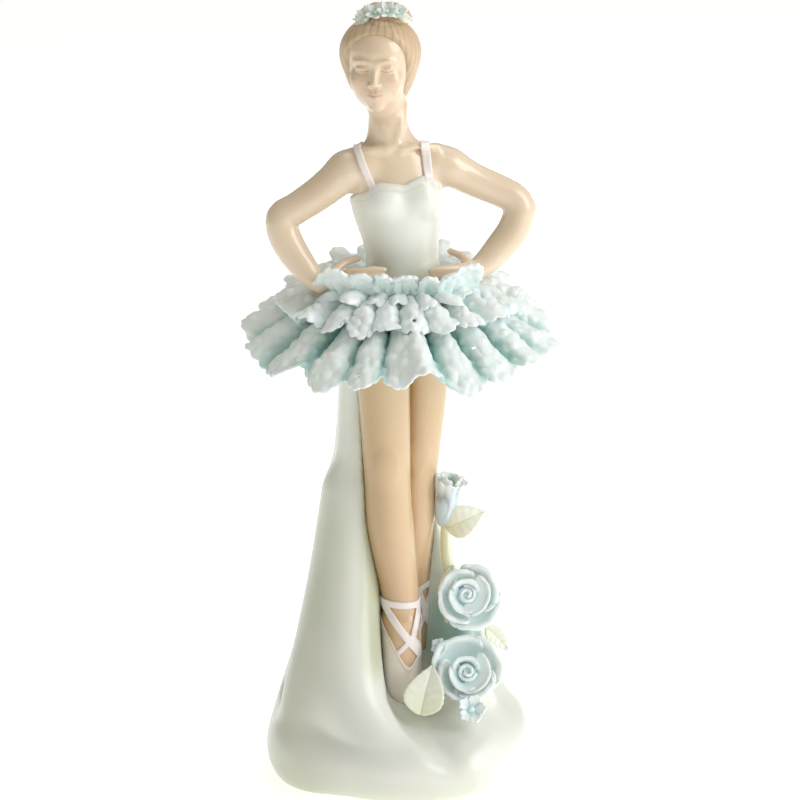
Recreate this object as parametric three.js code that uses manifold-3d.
// Porcelain ballet dancer figurine.
// A dancer stands en pointe with hands on hips, wearing a tutu of stiffened lace, against a flared
// hollow stand with a sweeping drape fold. Hand-pinched roses, a bud, leaves and small blossoms climb
// the stand beside the feet, and a wreath of blossoms rings the hair bun.
// Every piece is cast or pinched on its own, then joined with slip before firing, so each is a
// separate solid here with a small joint gap. Millimetres, +Z up, dancer facing -Y, +X on the
// viewer's right. The origin is under the middle of the figurine, on the table.

import * as THREE from "three";
import { mergeVertices } from "three/addons/utils/BufferGeometryUtils.js";
import Module from "manifold-3d";

const wasm = await Module();
wasm.setup();

// ---------------------------------------------------------------- driving dimensions (mm)
const GAP = 0.3; // joint gap between neighbouring pieces
const HIP_Z = 118; // underside of the cast torso, where the legs begin
const NECKLINE_Z = 159.4; // top edge of the bodice
const NECKLINE_TILT = 0.11; // rise of the neckline per mm of X
const ANKLE_Z = 41.5; // top of the ballet shoes
const BODY_TURN = 14; // degrees the torso is turned about Z
const LACE_T = 1.3; // thickness of a fired lace flounce
const PETAL_T = 0.75; // thickness of a pinched petal
const STAND_TOP = 117; // top of the stand, under the tutu

// torso: [z, centre x, centre y, half width, half depth]
const TORSO = [
  [118, 1.0, 0.4, 12.0, 9.4],
  [124, 1.1, 0.3, 12.3, 9.6],
  [130, 1.1, 0.2, 11.4, 9.0],
  [134, 1.0, 0.1, 10.0, 8.2],
  [138, 0.7, 0.0, 9.1, 7.4],
  [141, 0.4, 0.0, 9.2, 7.3],
  [145, 0.0, 0.0, 10.1, 7.6],
  [149, -0.4, -0.2, 11.1, 8.3],
  [152.5, -0.7, -0.4, 11.7, 8.9],
  [156, -0.8, -0.2, 11.7, 8.6],
  [159.4, -0.9, 0.2, 11.6, 7.4],
];
const CHEST = [
  [159.4, -0.9, 0.2, 11.6, 7.4],
  [162, -1.0, 0.4, 11.4, 6.6],
  [164.5, -1.3, 0.6, 10.4, 6.0],
  [166.8, -1.8, 0.7, 8.4, 5.6],
  [169, -2.4, 0.7, 6.3, 5.3],
  [171.5, -2.9, 0.6, 5.2, 5.1],
  [174.5, -3.1, 0.5, 4.95, 4.95],
  [178.2, -3.4, 0.7, 4.9, 4.9],
];
// legs: [z, centre x, centre y, half width, half depth]
const LEG_RIGHT = [
  [41.5, 0.2, -5.2, 5.0, 5.2],
  [46, 0.2, -5.0, 5.05, 5.0],
  [51, -0.3, -4.9, 5.4, 5.3],
  [59, -1.5, -4.8, 5.9, 5.8],
  [68, -2.7, -4.6, 6.1, 6.1],
  [78, -3.2, -4.4, 6.1, 6.1],
  [90, -3.6, -4.2, 6.35, 6.3],
  [102, -4.1, -4.0, 6.65, 6.5],
  [117.7, -4.6, -3.6, 7.1, 6.9],
];
const LEG_LEFT = [
  [41.5, 3.5, 5.5, 4.5, 4.7],
  [46, 3.5, 5.5, 4.5, 4.6],
  [51, 3.4, 5.5, 4.7, 4.8],
  [60, 3.4, 5.5, 5.2, 5.1],
  [69, 3.8, 5.4, 5.5, 5.3],
  [78, 4.2, 5.2, 5.6, 5.4],
  [90, 5.2, 4.9, 5.9, 5.7],
  [102, 6.1, 4.5, 6.25, 6.0],
  [117.7, 6.6, 3.9, 6.3, 6.4],
];
// ballet shoes: [z, centre x, centre y, half width, half depth]
const SHOE_RIGHT = [
  [17.6, 1.2, -5.4, 1.3, 1.4],
  [18.2, 1.2, -5.45, 2.5, 2.5],
  [20, 1.1, -5.6, 3.3, 3.3],
  [23.5, 0.9, -5.9, 4.1, 4.1],
  [28, 0.75, -6.1, 4.75, 4.7],
  [33, 0.45, -5.9, 4.95, 5.1],
  [38, 0.1, -5.4, 5.05, 5.6],
  [41.2, 0.1, -5.2, 5.15, 5.5],
];
const SHOE_LEFT = [
  [18.2, 4.6, 4.7, 1.2, 1.3],
  [18.8, 4.6, 4.7, 2.3, 2.4],
  [20.6, 4.6, 4.7, 3.1, 3.2],
  [24, 4.5, 4.7, 3.8, 4.0],
  [28.5, 4.2, 4.8, 4.3, 4.5],
  [33.5, 3.9, 5.0, 4.5, 4.8],
  [38, 3.7, 5.4, 4.6, 5.1],
  [41.2, 3.6, 5.5, 4.65, 5.0],
];
// arms: [x, y, z, radius] along the centre line, shoulder to wrist
const ARM_RIGHT = [
  [-9.5, -2.6, 162.4, 4.8],
  [-14.0, -3.6, 160.6, 4.75],
  [-20.2, -4.4, 156.0, 4.5],
  [-26.4, -4.8, 151.9, 4.4],
  [-30.0, -4.9, 149.4, 4.65],
  [-29.3, -5.2, 145.4, 4.2],
  [-27.2, -5.9, 141.3, 4.0],
  [-24.4, -7.0, 137.4, 3.75],
  [-21.9, -8.2, 134.6, 3.1],
  [-19.6, -9.4, 133.0, 2.7],
];
const ARM_LEFT = [
  [9.0, 2.0, 163.0, 4.7],
  [13.2, 3.2, 161.0, 4.6],
  [20.4, 4.0, 156.2, 4.35],
  [26.6, 4.2, 152.4, 4.3],
  [29.9, 4.0, 149.8, 4.7],
  [28.0, 3.2, 144.2, 4.15],
  [25.2, 1.6, 140.0, 3.95],
  [22.2, -0.6, 136.9, 3.6],
  [19.6, -2.6, 135.3, 3.0],
  [17.4, -4.4, 134.9, 2.7],
];
// hands: palm as [x, y, z, rx, ry, rz], fingers as short tubes [x, y, z, radius]
const HAND_RIGHT = {
  palm: [-14.9, -10.6, 134.4, 4.3, 1.7, 2.9],
  yaw: -8,
  fingers: [
    [[-12.4, -11.2, 136.5, 1.15], [-8.2, -11.6, 137.4, 1.05], [-4.4, -11.0, 137.2, 0.8]],
    [[-12.0, -11.5, 134.9, 1.15], [-7.4, -12.0, 135.7, 1.05], [-3.0, -11.5, 135.5, 0.8]],
    [[-12.2, -11.5, 133.3, 1.1], [-7.8, -12.0, 133.8, 1.0], [-3.9, -11.7, 133.7, 0.8]],
  ],
};
const HAND_LEFT = {
  palm: [15.6, -6.6, 134.9, 3.6, 1.7, 2.8],
  yaw: 40,
  fingers: [
    [[14.2, -8.4, 136.6, 1.1], [11.4, -10.2, 136.9, 1.0], [8.6, -11.2, 136.5, 0.8]],
    [[14.0, -8.9, 135.0, 1.15], [10.9, -10.9, 135.2, 1.05], [7.6, -12.0, 134.8, 0.8]],
    [[14.2, -8.8, 133.4, 1.1], [11.4, -10.8, 133.4, 1.0], [8.6, -11.8, 133.1, 0.8]],
  ],
};
// head: [centre x, y, z, half width, half depth, half height]
const SKULL = [-4.6, 1.1, 190.1, 9.0, 10.0, 9.5];
const JAW = [-4.2, -2.6, 184.0, 6.3, 6.6, 7.3];
const HAIR_T = 0.75;
const BUN = [-3.9, 4.2, 199.2, 6.4, 5.8, 3.6];
// stand: [z, min x, max x, min y, max y]
const STAND = [
  [0, -29.5, 28, -27.5, 28],
  [1.6, -32.6, 31, -30.4, 31],
  [4.5, -34.6, 33, -32.2, 33],
  [8, -34.8, 33.4, -32.2, 33.4],
  [11.5, -34.2, 32.8, -30.8, 33],
  [14.5, -33.4, 31.6, -27, 32.4],
  [17, -32.6, 30.2, -20, 31.8],
  [20, -31.6, 28.2, -10, 31],
  [24, -30.4, 25.8, -6, 29.6],
  [32, -28.1, 22, -2.5, 27],
  [42, -25.6, 18, 0, 24.5],
  [60, -22, 13, 2, 21.3],
  [80, -18.8, 10.4, 2.6, 19],
  [100, -16.9, 9, 2.8, 17.6],
  [117, -16.3, 8.6, 2.8, 17],
];
// sweeping drape fold: [x, y, z, radius]
const FOLD = [
  [-11.6, 3.4, 112, 4.6],
  [-12.2, 1.6, 92, 5.0],
  [-12.9, -1.0, 70, 6.2],
  [-13.4, -4.5, 50, 8.0],
  [-12.8, -9.5, 34, 9.6],
  [-10.6, -15.5, 22, 10.4],
  [-4.0, -22.3, 12.4, 9.6],
  [7.0, -25.6, 7.8, 7.3],
  [16, -24.2, 6.2, 5.2],
];
const LIP = [
  [29.2, 6, 11, 5.2],
  [27.6, -8, 11.6, 5.2],
  [21.0, -17.8, 11.8, 5.4],
  [12.5, -23.4, 9.6, 4.6],
];
// bay in the stand where the feet and the flowers sit
const BAY = [
  [9.5, -11.5, 30, 12.5],
  [6.5, -9.5, 44, 11.0],
  [3.5, -8.0, 60, 9.6],
  [1.0, -7.4, 84, 8.8],
  [0.5, -7.2, 121, 8.8],
];
// drained cavity inside the stand: [z, cx, cy, rx, ry]
const CAVITY = [
  [-1, -0.8, 1, 22.0, 21.0],
  [2.5, -0.8, 1, 24.5, 23.5],
  [6, -0.8, 1, 27.5, 26.0],
  [9, -0.8, 2, 27.5, 24.5],
  [11.6, -1.4, 6, 25.5, 19.5],
  [15, -2.6, 14.5, 21.5, 12.0],
  [19, -3.2, 18.6, 18.5, 8.4],
  [24, -3.4, 18.6, 16.5, 7.4],
  [32, -3.6, 17.6, 14.5, 6.4],
  [44, -4.0, 16.6, 11.0, 5.0],
  [50, -4.0, 16.0, 6.5, 3.4],
  [53, -4.0, 15.8, 2.0, 1.3],
];

// ---------------------------------------------------------------- helpers
const V = (x, y, z) => new THREE.Vector3(x, y, z);
const rad = THREE.MathUtils.degToRad;

// Catmull-Rom value of every column of a table at parameter s (0 to rows - 1).
function sample(table, s) {
  const n = table.length - 1;
  const i = Math.min(Math.max(Math.floor(s), 0), n - 1);
  const t = s - i;
  const p = (k) => table[Math.min(Math.max(k, 0), n)];
  return p(i).map((_, c) => {
    const a = p(i - 1)[c], b = p(i)[c], d = p(i + 1)[c], e = p(i + 2)[c];
    return 0.5 * (2 * b + (d - a) * t + (2 * a - 5 * b + 4 * d - e) * t * t + (3 * b - a - 3 * d + e) * t * t * t);
  });
}

// Moves the vertices of a three.js geometry, welds them and makes a solid whose faces all lie g
// outside their first place.
function remap(geometry, f, g = 0) {
  const copy = geometry.clone();
  copy.deleteAttribute("normal");
  copy.deleteAttribute("uv");
  const pos = copy.attributes.position;
  for (let i = 0; i < pos.count; i++) {
    const q = f(pos.getX(i), pos.getY(i), pos.getZ(i), i);
    pos.setXYZ(i, q.x, q.y, q.z);
  }
  const m = mergeVertices(copy, 1e-4);
  const tri = Array.from(m.index.array);
  const at = (i) => new THREE.Vector3().fromBufferAttribute(m.attributes.position, i);
  let volume = 0;
  for (let i = 0; i < tri.length; i += 3) volume += at(tri[i]).dot(at(tri[i + 1]).cross(at(tri[i + 2])));
  if (volume < 0) for (let i = 0; i < tri.length; i += 3) [tri[i + 1], tri[i + 2]] = [tri[i + 2], tri[i + 1]];
  if (g !== 0) {
    const sum = Array.from({ length: m.attributes.position.count }, () => new THREE.Vector3());
    const faces = sum.map(() => []);
    for (let i = 0; i < tri.length; i += 3) {
      const [a, b, c] = [at(tri[i]), at(tri[i + 1]), at(tri[i + 2])];
      const n = b.clone().sub(a).cross(c.clone().sub(a));
      if (n.length() < 1e-9) continue;
      n.normalize();
      [[tri[i], a, b, c], [tri[i + 1], b, c, a], [tri[i + 2], c, a, b]].forEach(([v, p, q, r]) => {
        sum[v].addScaledVector(n, q.clone().sub(p).angleTo(r.clone().sub(p)));
        faces[v].push(n);
      });
    }
    sum.forEach((n, i) => {
      n.normalize();
      const least = Math.max(Math.min(...faces[i].map((q) => q.dot(n))), 0.45);
      const q = at(i).addScaledVector(n, g / least);
      m.attributes.position.setXYZ(i, q.x, q.y, q.z);
    });
  }
  return new wasm.Manifold(new wasm.Mesh({ numProp: 3, vertProperties: new Float32Array(m.attributes.position.array), triVerts: new Uint32Array(tri) }));
}
const largest = (s) => s.decompose().sort((a, b) => b.volume() - a.volume())[0];

// Solid through horizontal elliptical sections [z, cx, cy, a, b], turned about Z.
function loft(sections, { seg = 28, rings = 16, turn = 0, g = 0, tiltTop = 0, tiltBottom = 0 } = {}) {
  const base = new THREE.CylinderGeometry(1, 1, 1, seg, rings - 1, false);
  const n = sections.length - 1;
  const c = Math.cos(rad(turn)), s = Math.sin(rad(turn));
  return remap(base, (x, y, z) => {
    const t = THREE.MathUtils.clamp(y + 0.5, 0, 1);
    const [sz, cx, cy, a, b] = sample(sections, t * n);
    const r = Math.min(Math.hypot(x, z), 1);
    const ang = Math.atan2(-z, x);
    const u = r * a * Math.cos(ang), v = r * b * Math.sin(ang);
    const px = cx + u * c - v * s, py = cy + u * s + v * c;
    return V(px, py, sz + THREE.MathUtils.lerp(tiltBottom, tiltTop, t) * (px - cx));
  }, g);
}

// Round tube with domed ends along [x, y, z, radius] points.
function tube(path, { seg = 14, rings = 18, cap = 3, g = 0 } = {}) {
  const n = path.length - 1;
  const rows = rings + 2 * cap;
  const base = new THREE.SphereGeometry(1, seg, rows);
  const curve = (t) => { const q = sample(path, t * n); return { c: V(q[0], q[1], q[2]), r: q[3] }; };
  const frames = [];
  let ref = null;
  for (let k = 0; k <= rings; k++) {
    const t = k / rings;
    const T = curve(Math.min(t + 1e-3, 1)).c.sub(curve(Math.max(t - 1e-3, 0)).c).normalize();
    if (!ref) ref = Math.abs(T.z) < 0.9 ? V(0, 0, 1) : V(0, 1, 0);
    const B = new THREE.Vector3().crossVectors(T, ref).normalize();
    const N = new THREE.Vector3().crossVectors(B, T).normalize();
    ref = N.clone();
    frames.push({ ...curve(t), T, N, B });
  }
  const per = seg + 1;
  return remap(base, (x, y, z, i) => {
    const row = Math.floor(i / per), col = i % per;
    const ang = (col % seg) / seg * Math.PI * 2;
    let f, along = 0, k = 1;
    if (row < cap) { f = frames[0]; const a = row / cap * Math.PI / 2; along = -Math.cos(a) * f.r; k = Math.sin(a); }
    else if (row > rows - cap) { f = frames[rings]; const a = (rows - row) / cap * Math.PI / 2; along = Math.cos(a) * f.r; k = Math.sin(a); }
    else f = frames[row - cap];
    if (row === 0 || row === rows) k = 0;
    return f.c.clone().addScaledVector(f.T, along)
      .addScaledVector(f.N, Math.cos(ang) * f.r * k)
      .addScaledVector(f.B, Math.sin(ang) * f.r * k);
  }, g);
}

function ellipsoid([x, y, z, rx, ry, rz], { seg = 20, rows = 14, g = 0, yaw = 0 } = {}) {
  const q = new THREE.Quaternion().setFromAxisAngle(V(0, 0, 1), rad(yaw));
  return remap(new THREE.SphereGeometry(1, seg, rows), (a, b, c) =>
    V(a * rx, -c * ry, b * rz).applyQuaternion(q).add(V(x, y, z)), g);
}

// Fluted ring of stiffened lace. profile(t) gives [radius, z] from waist (t = 0) to hem (t = 1).
function flounce({ centre, profile, flutes, depth, phase, seg, steps, second = [0, 0, 0], g = 0, t0 = LACE_T }) {
  const around = 2 * (steps + 1);
  const base = new THREE.TorusGeometry(2, 1, around, seg);
  const per = seg + 1;
  return remap(base, (x, y, z, i) => {
    const j = Math.floor(i / per) % around, k = (i % per) % seg;
    const top = j <= steps;
    const t = top ? j / steps : (around - 1 - j) / steps;
    const a = k / seg * Math.PI * 2;
    const wave = Math.sin(flutes * a + phase + second[0] * Math.sin(second[1] * a + second[2]));
    const lift = depth * Math.pow(t, 1.2) * wave;
    const [r, h] = profile(t, a);
    return V(centre[0] + r * Math.cos(a), centre[1] + r * Math.sin(a), h + lift + (top ? 0.5 : -0.5) * t0);
  }, g);
}

// Pinched petal in a flower's own frame: span of angle around +Z, radius and height from base to rim.
function petal({ a0, span, r, h, spiral = 1.2, curl = 0.6, cup = 0, t0 = PETAL_T, nx = 5, ny = 3, g = 0, widen = 0.55 }) {
  const base = new THREE.BoxGeometry(1, 1, 1, nx, ny, 1);
  return remap(base, (x, y, z) => {
    const u = x + 0.5, t = y + 0.5, side = z > 0 ? 0.5 : -0.5;
    const narrow = widen + (1 - widen) * Math.sin(Math.min(t * 1.25, 1) * Math.PI / 2);
    const a = a0 + (u - 0.5) * span * narrow;
    const radius = r[0] + (r[1] - r[0]) * Math.pow(t, 0.8) + spiral * (u - 0.5) + curl * Math.pow(t, 4);
    const edge = 1 - Math.pow(Math.abs(2 * x), 3) * 0.35;
    const height = h[0] + (h[1] - h[0]) * t * (t > 0.5 ? THREE.MathUtils.lerp(1, edge, (t - 0.5) * 2) : 1) + cup * Math.pow(2 * x, 2);
    const slope = Math.atan2((r[1] - r[0]) * 0.8 + curl * 4 * t * t * t, (h[1] - h[0]) * edge);
    const rr = radius + side * t0 * Math.cos(slope);
    return V(rr * Math.cos(a), rr * Math.sin(a), height - side * t0 * Math.sin(slope));
  }, g);
}

// Leaf blade along its own +Y from the stalk at the origin, face up +Z.
function leaf({ length, width, bend, fold = 0.8, t0 = 0.9, nx = 4, ny = 5, g = 0, tipTwist = 0 }) {
  const base = new THREE.BoxGeometry(1, 1, 1, nx, ny, 1);
  return remap(base, (x, y, z) => {
    const t = y + 0.5;
    const w = width * (Math.sin(Math.PI * Math.pow(0.06 + 0.9 * t, 0.8)) + 0.05);
    const tw = tipTwist * t * t;
    const px = x * w, pz = Math.abs(x) * 2 * fold + bend * t * t + (z > 0 ? 0.5 : -0.5) * t0;
    return V(px * Math.cos(tw), t * length, pz + px * Math.sin(tw));
  }, g);
}

// Small round-petalled blossom around its own +Z.
function blossom({ radius, petals = 5, t0 = 0.9, g = 0 }) {
  return remap(new THREE.CylinderGeometry(1, 1, 1, petals * 3, 1, false), (x, y, z) => {
    const r = Math.min(Math.hypot(x, z), 1), a = Math.atan2(-z, x);
    const lobe = 0.72 + 0.28 * Math.abs(Math.cos(a * petals / 2));
    const rr = r * radius * lobe;
    return V(rr * Math.cos(a), rr * Math.sin(a), y * t0 + 0.55 * Math.pow(rr / radius, 2));
  }, g).add(ellipsoid([0, 0, 0.35, 0.75, 0.75, 0.8], { g, seg: 5, rows: 3 }));
}

// Places a solid made in a local frame so that its +Z points along `face` and +Y lies near `up`.
function place(s, at, face, up = [0, 0, 1]) {
  const z = V(...face).normalize();
  const x = new THREE.Vector3().crossVectors(V(...up), z).normalize();
  const y = new THREE.Vector3().crossVectors(z, x);
  const m = new THREE.Matrix4().makeBasis(x, y, z).setPosition(...at);
  return s.transform(m.elements);
}

// ---------------------------------------------------------------- pieces
// Each entry: name, group, colour, and make(g) that returns its solid grown by g. A piece is cut back
// by the grown solids of the pieces before it that it lists, so that neighbours keep the joint gap.
const SKIN = 0xe8cfae, GLAZE = 0xeef0e6, MINT = 0xe9eee4, AQUA = 0xcfe3df, ROSE = 0xc9dfe4, CREAM = 0xf1f3e2, HAIR = 0xcfae86, SHOE = 0xf0e4dc, PINK = 0xefe2de;
const pieces = [];
const add = (group, name, colour, make, cutBy = []) => pieces.push({ group, name, colour, make, cutBy });

const head = (g) => ellipsoid(SKULL, { g, seg: 16, rows: 10 }).add(ellipsoid(JAW, { g, seg: 14, rows: 10 }));
add("dancer", "bodice", MINT, (g) => loft(TORSO, { g, turn: BODY_TURN, rings: 11, seg: 20, tiltTop: NECKLINE_TILT }));
add("dancer", "neck_and_shoulders", SKIN, (g) => loft(CHEST, { g, turn: BODY_TURN, rings: 9, seg: 20, tiltBottom: NECKLINE_TILT }), ["bodice"]);
add("dancer", "head", SKIN, head, ["neck_and_shoulders"]);
const hairRegion = () => remap(new THREE.BoxGeometry(44, 44, 44), (x, y, z) =>
  V(x, y + 22, z).applyAxisAngle(V(1, 0, 0), rad(32)).add(V(-4.6, -4.2, 191.5)));
add("dancer", "hair", HAIR, (g) => head(GAP + HAIR_T + g).subtract(head(Math.max(GAP - g, 0))).intersect(hairRegion()), ["head", "neck_and_shoulders"]);
add("dancer", "hair_bun", HAIR, (g) => ellipsoid(BUN, { g, seg: 14, rows: 8 }), ["head", "hair"]);

function arm(path, hand, g) {
  let s = tube(path, { g, seg: 9, rings: 12, cap: 2 });
  s = s.add(ellipsoid(hand.palm, { g, seg: 10, rows: 6, yaw: hand.yaw }));
  for (const f of hand.fingers) s = s.add(tube(f, { g, seg: 6, rings: 2, cap: 1 }));
  return s;
}
add("dancer", "right_arm", SKIN, (g) => arm(ARM_RIGHT, HAND_RIGHT, g), ["bodice", "neck_and_shoulders"]);
add("dancer", "left_arm", SKIN, (g) => arm(ARM_LEFT, HAND_LEFT, g), ["bodice", "neck_and_shoulders"]);

function strap(x, tilt, width, g) {
  const slab = remap(new THREE.BoxGeometry(width + 2 * g, 30, 20), (a, b, c) => V(a, b, c).applyAxisAngle(V(0, 1, 0), rad(tilt)).add(V(x, 0, 166)));
  const chest = (k) => loft(CHEST, { g: k, turn: BODY_TURN, rings: 9, seg: 20, tiltBottom: NECKLINE_TILT });
  return slab.intersect(chest(GAP + 0.8 + g)).subtract(chest(Math.max(GAP - g, 0)));
}
add("dancer", "right_strap", PINK, (g) => strap(-8.2, -18, 2.6, g), ["bodice", "neck_and_shoulders", "right_arm"]);
add("dancer", "left_strap", PINK, (g) => strap(6.0, 2, 2.6, g), ["bodice", "neck_and_shoulders", "left_arm"]);

add("dancer", "right_leg", SKIN, (g) => loft(LEG_RIGHT, { g, seg: 14, rings: 8 }), ["bodice"]);
add("dancer", "left_leg", SKIN, (g) => loft(LEG_LEFT, { g, seg: 14, rings: 8 }), ["bodice", "right_leg"]);
add("dancer", "right_ballet_shoe", SHOE, (g) => loft(SHOE_RIGHT, { g, seg: 14, rings: 9 }), ["right_leg"]);
add("dancer", "left_ballet_shoe", SHOE, (g) => loft(SHOE_LEFT, { g, seg: 14, rings: 9 }), ["left_leg", "right_ballet_shoe"]);

// Ankle ribbons: one level band and a crossed pair, as low relief around the leg.
function ribbon(leg, cx, cy, g) {
  const shell = loft(leg.slice(0, 4), { g: GAP + 0.55 + g, seg: 12, rings: 4 }).subtract(loft(leg.slice(0, 4), { g: Math.max(GAP - g, 0), seg: 12, rings: 4 }));
  const band = (z, tilt, w) => remap(new THREE.BoxGeometry(30, 30, w + 2 * g), (a, b, c) => V(a, b, c).applyAxisAngle(V(0, 1, 0), rad(tilt)).add(V(cx, cy, z)));
  return band(47.2, 0, 1.9).add(band(45.6, 24, 1.6)).intersect(shell);
}
add("dancer", "right_ankle_ribbon", PINK, (g) => ribbon(LEG_RIGHT, 0.2, -5, g), ["right_leg", "left_leg", "right_ballet_shoe"]);
add("dancer", "left_ankle_ribbon", PINK, (g) => ribbon(LEG_LEFT, 3.5, 5.5, g), ["left_leg", "right_leg", "right_ankle_ribbon", "left_ballet_shoe"]);

// Hollow stand: flared body with the drape fold and the front lip, bay for the feet, open underside.
function stand(g) {
  const sections = STAND.map(([z, x0, x1, y0, y1]) => [z, (x0 + x1) / 2, (y0 + y1) / 2, (x1 - x0) / 2, (y1 - y0) / 2]);
  let s = loft(sections, { g, seg: 28, rings: 14 });
  s = s.subtract(tube(BAY.map(([x, y, z, r]) => [x, y, z, r - g]), { seg: 12, rings: 7, cap: 2 }));
  s = s.add(tube(FOLD, { g, seg: 12, rings: 12, cap: 2 })).add(tube(LIP, { g, seg: 10, rings: 5, cap: 2 }));
  const trim = remap(new THREE.BoxGeometry(90, 90, 130), (x, y, z) => V(x, y, z + 65 - g + (z > 0 ? g : 0)));
  s = s.intersect(trim);
  if (g === 0) s = s.subtract(loft(CAVITY, { seg: 18, rings: 10 }));
  return s;
}
const clearance = (name, leg) => pieces.push({ name, make: (g) => loft(leg.slice(0, 4), { g: GAP + 0.55 + g, seg: 12, rings: 4 }), cutBy: [], hidden: true });
clearance("right_ankle_space", LEG_RIGHT);
clearance("left_ankle_space", LEG_LEFT);
add("stand", "stand", GLAZE, stand, ["bodice", "right_leg", "left_leg", "right_ballet_shoe", "left_ballet_shoe", "right_ankle_space", "left_ankle_space"]);

// Tutu of three fluted lace flounces around the hips.
const WAIST = [0, 0];
const LOWER = { centre: WAIST, profile: (t, a) => [13.8 + 26.3 * t, 128.2 - 12.6 * Math.pow(t, 1.1) + 2.0 * Math.sin(a) * t], flutes: 15, depth: 3.0, phase: 0.6, seg: 75, steps: 3, second: [0.7, 4, 0.5] };
const MIDDLE = { centre: WAIST, profile: (t, a) => [13.6 + 17.4 * t, 131.4 - 5.2 * t + 1.4 * Math.sin(a) * t], flutes: 16, depth: 2.0, phase: 1.9, seg: 64, steps: 2, second: [0.6, 3, 1.5] };
const UPPER = { centre: WAIST, profile: (t, a) => [13.0 + 11.0 * t, 133.4 + 0.6 * t + 0.8 * Math.sin(a) * t], flutes: 13, depth: 2.0, phase: 0.2, seg: 52, steps: 2, second: [0.5, 3, 0.2] };
const body = ["bodice", "right_arm", "left_arm", "right_leg", "left_leg", "stand"];
add("tutu", "tutu_lower_flounce", AQUA, (g) => flounce({ ...LOWER, g }), body);
add("tutu", "tutu_middle_flounce", AQUA, (g) => flounce({ ...MIDDLE, g }), [...body, "tutu_lower_flounce"]);
add("tutu", "tutu_upper_flounce", AQUA, (g) => flounce({ ...UPPER, g }), [...body, "tutu_lower_flounce", "tutu_middle_flounce"]);

// Roses: a rolled heart, three inner petals and four open outer petals each.
const onStand = ["stand", "right_ballet_shoe", "left_ballet_shoe", "right_ankle_space", "left_ankle_space", "right_leg", "left_leg"];
function rose(name, at, face, size, up, others) {
  const k = size;
  const before = [...onStand, ...others];
  add("flowers", `${name}_heart`, ROSE, (g) => place(ellipsoid([0, 0, 0.6 * k, 2.3 * k, 2.3 * k, 3.2 * k], { g, seg: 10, rows: 6 }), at, face, up), before);
  const mine = [...before, `${name}_heart`];
  for (let i = 0; i < 3; i++) {
    add("flowers", `${name}_inner_petal_${i + 1}`, ROSE, (g) => place(petal({ a0: rad(120 * i + 20), span: rad(150), r: [2.9 * k, 4.0 * k], h: [-2.0 * k, 3.0 * k], spiral: 1.2, curl: 0.3, g }), at, face, up), [...mine]);
    mine.push(`${name}_inner_petal_${i + 1}`);
  }
  for (let i = 0; i < 4; i++) {
    add("flowers", `${name}_outer_petal_${i + 1}`, ROSE, (g) => place(petal({ a0: rad(90 * i + 70), span: rad(118), r: [4.9 * k, 6.9 * k], h: [-2.4 * k, 1.8 * k], spiral: 1.3, curl: 1.0 * k, g }), at, face, up), [...mine]);
    mine.push(`${name}_outer_petal_${i + 1}`);
  }
  return mine.slice(onStand.length + others.length);
}
const low = rose("lower_rose", [18.2, -11.0, 29.4], [0.05, -0.93, 0.36], 0.98, [0, 0, 1], []);
const high = rose("upper_rose", [18.0, -4.6, 46.6], [0.12, -0.9, 0.42], 0.95, [0, 0, 1], low);
const roses = [...low, ...high];

// Bud, its calyx leaf and stem, and the leaves and blossoms that fill the group.
add("flowers", "rosebud", ROSE, (g) => {
  const cup = loft([[-7, 0, 0, 1.2, 1.2], [-3.5, 0, 0, 2.6, 2.4], [1, 0, 0, 3.2, 3.0], [5, 0.3, 0, 3.9, 3.5], [7.6, 0.4, 0, 4.3, 3.8]], { g, seg: 10, rings: 6 });
  return place(cup, [13.4, 2.6, 71.4], [0.16, -0.1, 0.98], [0, 1, 0]);
}, [...onStand, ...roses]);
add("flowers", "rosebud_stem", CREAM, (g) => tube([[11.8, 4.4, 63.0, 1.0], [12.4, 2.4, 58.5, 1.1], [13.6, 1.0, 54.6, 1.1]], { g, seg: 8, rings: 6, cap: 2 }), [...onStand, ...roses, "rosebud"]);
const leafAt = (name, spec, at, face, up, extra = []) => add("flowers", name, CREAM, (g) => place(leaf({ ...spec, g }), at, face, up), [...onStand, ...roses, "rosebud", "rosebud_stem", ...extra]);
leafAt("bud_leaf", { length: 10.5, width: 7.2, bend: 1.4 }, [13.2, 1.0, 62.4], [-0.25, -0.92, 0.3], [0.86, -0.1, 0.5]);
leafAt("side_leaf", { length: 13.5, width: 4.4, bend: 1.2 }, [12.6, -2.4, 53.0], [-0.5, -0.85, 0.1], [-0.05, 0.15, -1], ["bud_leaf"]);
leafAt("right_leaf", { length: 8.6, width: 4.6, bend: -0.8 }, [22.4, -2.6, 38.6], [0.3, -0.9, 0.2], [0.62, 0, -0.78], ["bud_leaf", "side_leaf"]);
leafAt("front_leaf", { length: 11.5, width: 9.4, bend: 1.0 }, [13.2, -16.4, 19.6], [-0.1, -0.72, 0.68], [-0.72, 0.2, 0.52], ["bud_leaf", "side_leaf", "right_leaf"]);
const leaves = ["bud_leaf", "side_leaf", "right_leaf", "front_leaf"];
const small = (name, at, face, r, extra = []) => add("flowers", name, ROSE, (g) => place(blossom({ radius: r, g }), at, face), [...onStand, ...roses, "rosebud", "rosebud_stem", ...leaves, ...extra]);
small("front_blossom", [19.2, -20.6, 21.4], [0.1, -0.86, 0.5], 3.6);
small("left_blossom", [9.4, -9.8, 35.0], [-0.5, -0.8, 0.3], 2.2, ["front_blossom"]);

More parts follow.
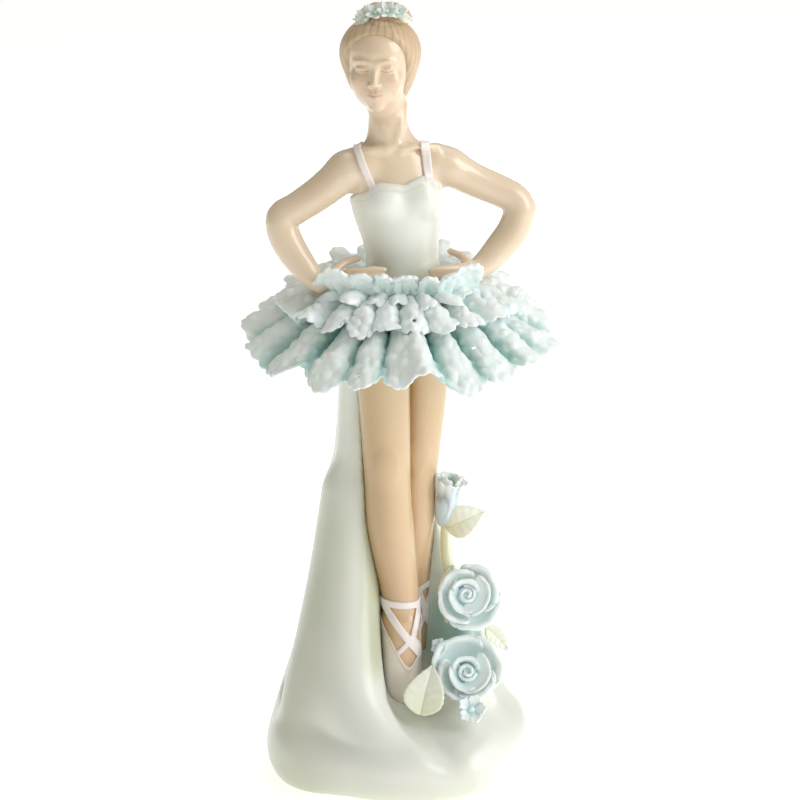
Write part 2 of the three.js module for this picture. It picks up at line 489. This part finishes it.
// Wreath of blossoms and leaves round the bun.
const wreath = [];
const W = [[-9.6, -0.6, 199.6], [-6.4, -2.9, 201.2], [-2.6, -3.2, 201.6], [1.2, -1.2, 200.6], [2.9, 3.2, 199.6], [-10.6, 4.4, 199.0], [-4.0, 10.2, 198.4]];
W.forEach(([x, y, z], i) => {
  const out = V(x - BUN[0], y - BUN[1], 2.6).normalize();
  const name = `wreath_blossom_${i + 1}`;
  add("wreath", name, ROSE, (g) => place(blossom({ radius: 2.5, t0: 0.8, g }), [x, y, z], [out.x, out.y, out.z + 0.5]), ["head", "hair", "hair_bun", ...wreath]);
  wreath.push(name);
});
[[-11.2, -1.2, 201.0, [-0.6, -0.4, 0.7], [-0.9, -0.3, 0.1]], [3.0, -1.6, 202.0, [0.4, -0.6, 0.7], [0.95, -0.2, 0.0]]].forEach(([x, y, z, face, up], i) => {
  const name = `wreath_leaf_${i + 1}`;
  add("wreath", name, CREAM, (g) => place(leaf({ length: 3.6, width: 2.4, bend: 0.4, fold: 0.3, t0: 0.8, nx: 2, ny: 4, g }), [x + (x < 0 ? 1.2 : -1.0), y, z], face, up), ["head", "hair", "hair_bun", ...wreath]);
  wreath.push(name);
});

// ---------------------------------------------------------------- assembly
const overlapBoxes = (a, b) => [0, 1, 2].every((k) => a.min[k] <= b.max[k] && b.min[k] <= a.max[k]);
const made = new Map();
const root = new THREE.Group();
const groups = new Map();
for (const p of pieces) {
  if (p.hidden) {
    made.set(p.name, { grown: p.make(GAP) });
    continue;
  }
  let s = p.make(0);
  for (const other of p.cutBy) {
    const o = made.get(other);
    if (!o) throw new Error(`${p.name} is cut by ${other}, which isn't made yet`);
    if (!overlapBoxes(s.boundingBox(), o.grown.boundingBox())) continue;
    s = s.subtract(o.grown);
  }
  s = largest(s);
  made.set(p.name, { grown: p.make(GAP) });
  const m = s.getMesh();
  const v = new Float32Array(m.numVert * 3);
  for (let i = 0; i < m.numVert; i++) v.set(m.vertProperties.subarray(i * m.numProp, i * m.numProp + 3), i * 3);
  const g = new THREE.BufferGeometry().setAttribute("position", new THREE.BufferAttribute(v, 3)).setIndex(new THREE.BufferAttribute(new Uint32Array(m.triVerts), 1));
  g.computeVertexNormals();
  const mesh = new THREE.Mesh(g, new THREE.MeshStandardMaterial({ color: p.colour, roughness: p.group === "tutu" ? 0.5 : 0.25, metalness: 0 }));
  mesh.name = p.name;
  if (!groups.has(p.group)) { const gr = new THREE.Group(); groups.set(p.group, gr); root.add(gr); }
  groups.get(p.group).add(mesh);
}

export default root;
